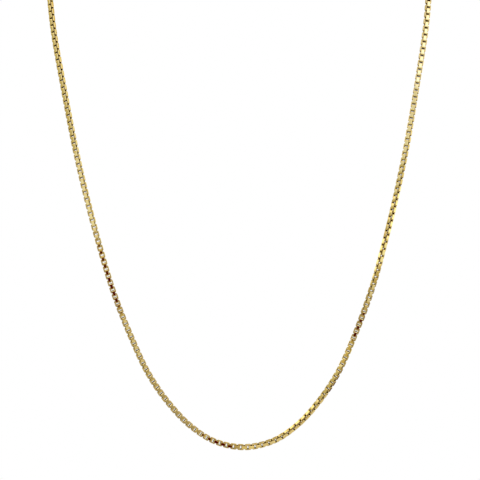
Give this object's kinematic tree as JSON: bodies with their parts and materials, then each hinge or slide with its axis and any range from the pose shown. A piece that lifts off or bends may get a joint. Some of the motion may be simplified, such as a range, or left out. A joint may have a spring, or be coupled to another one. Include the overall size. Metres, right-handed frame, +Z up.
{
  "type": "box chain necklace",
  "caption": "Fine twisted box chain of interlocking square gold links, a closed necklace loop that hangs in a long narrow U, with a plain barrel clasp at the nape.",
  "frame": {"origin": "middle of the clasp at the nape, where the loop rests on the back of the neck", "axes": "+X across the neck to the viewer's right, +Y from the front of the neck to the nape, +Z up; the front of the loop swells gently forward, from y = -0.049 at the shoulders to -0.0595 half-way down and back to -0.051 at its lowest point"},
  "size_m": [0.1046, 0.0616, 0.1406],
  "materials": {
    "chain_gold": "mirror polished yellow gold",
    "clasp_gold": "polished yellow gold"
  },
  "bodies": {
    "root": {"chain_left": "chain_gold", "chain_right": "chain_gold", "clasp": "clasp_gold"}
  },
  "joints": []
}
